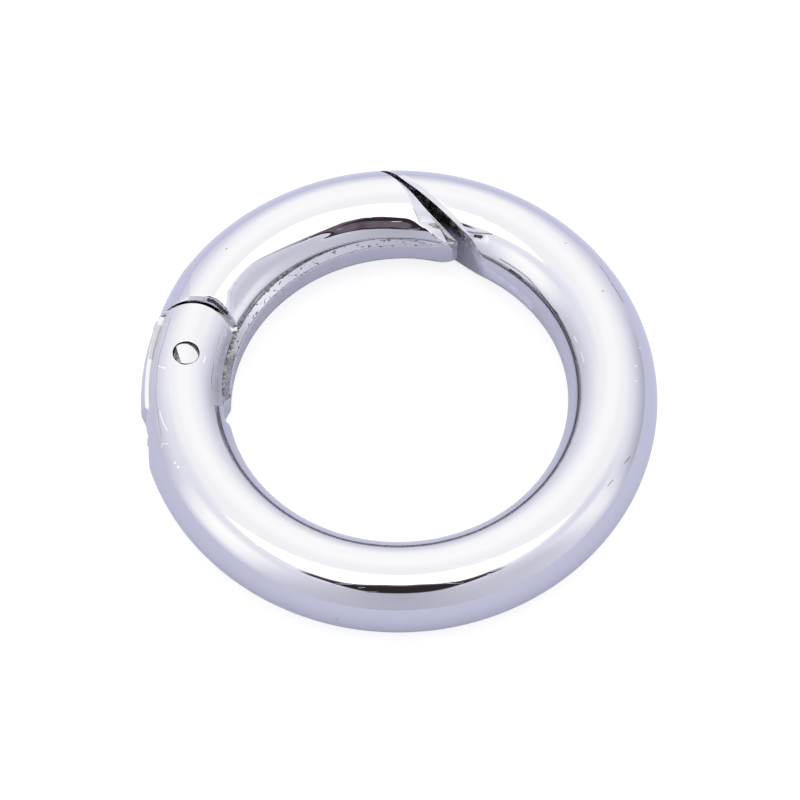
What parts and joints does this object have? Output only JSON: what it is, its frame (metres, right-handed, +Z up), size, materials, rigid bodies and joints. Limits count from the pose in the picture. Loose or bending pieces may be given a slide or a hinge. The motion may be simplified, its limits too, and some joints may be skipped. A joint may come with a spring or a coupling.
{
  "type": "spring gate ring",
  "caption": "Round snap ring in polished plated metal: a round-bar ring with one hinged, spring-closed gate that swings inwards from a slanted nose.",
  "frame": {"origin": "centre of the ring, on the plane that it lies on", "axes": "+Z up along the ring's axis, +X to the right and +Y to the back as the ring lies in the picture, with the gate's tip at the back and the hinge at the left"},
  "size_m": [0.0249, 0.025, 0.0043],
  "materials": {
    "ring": "polished",
    "gate": "polished, with a brushed land along the inside",
    "pin": "polished flush with the bar",
    "spring": "drawn wire"
  },
  "bodies": {
    "ring": {"ring_body": "ring", "hinge_pin": "pin", "spring": "spring"},
    "gate": {"gate": "gate"}
  },
  "joints": [
    {"name": "gate_hinge", "type": "hinge", "parent": "ring", "child": "gate", "pos_m": [-0.01017, 0.00128, 0.00215], "axis": [0, 0, -1], "range_deg": [0, 25], "stiffness_Nm_per_rad": 0.0044, "springref_deg": -40.11, "deforming": ["spring"]}
  ]
}
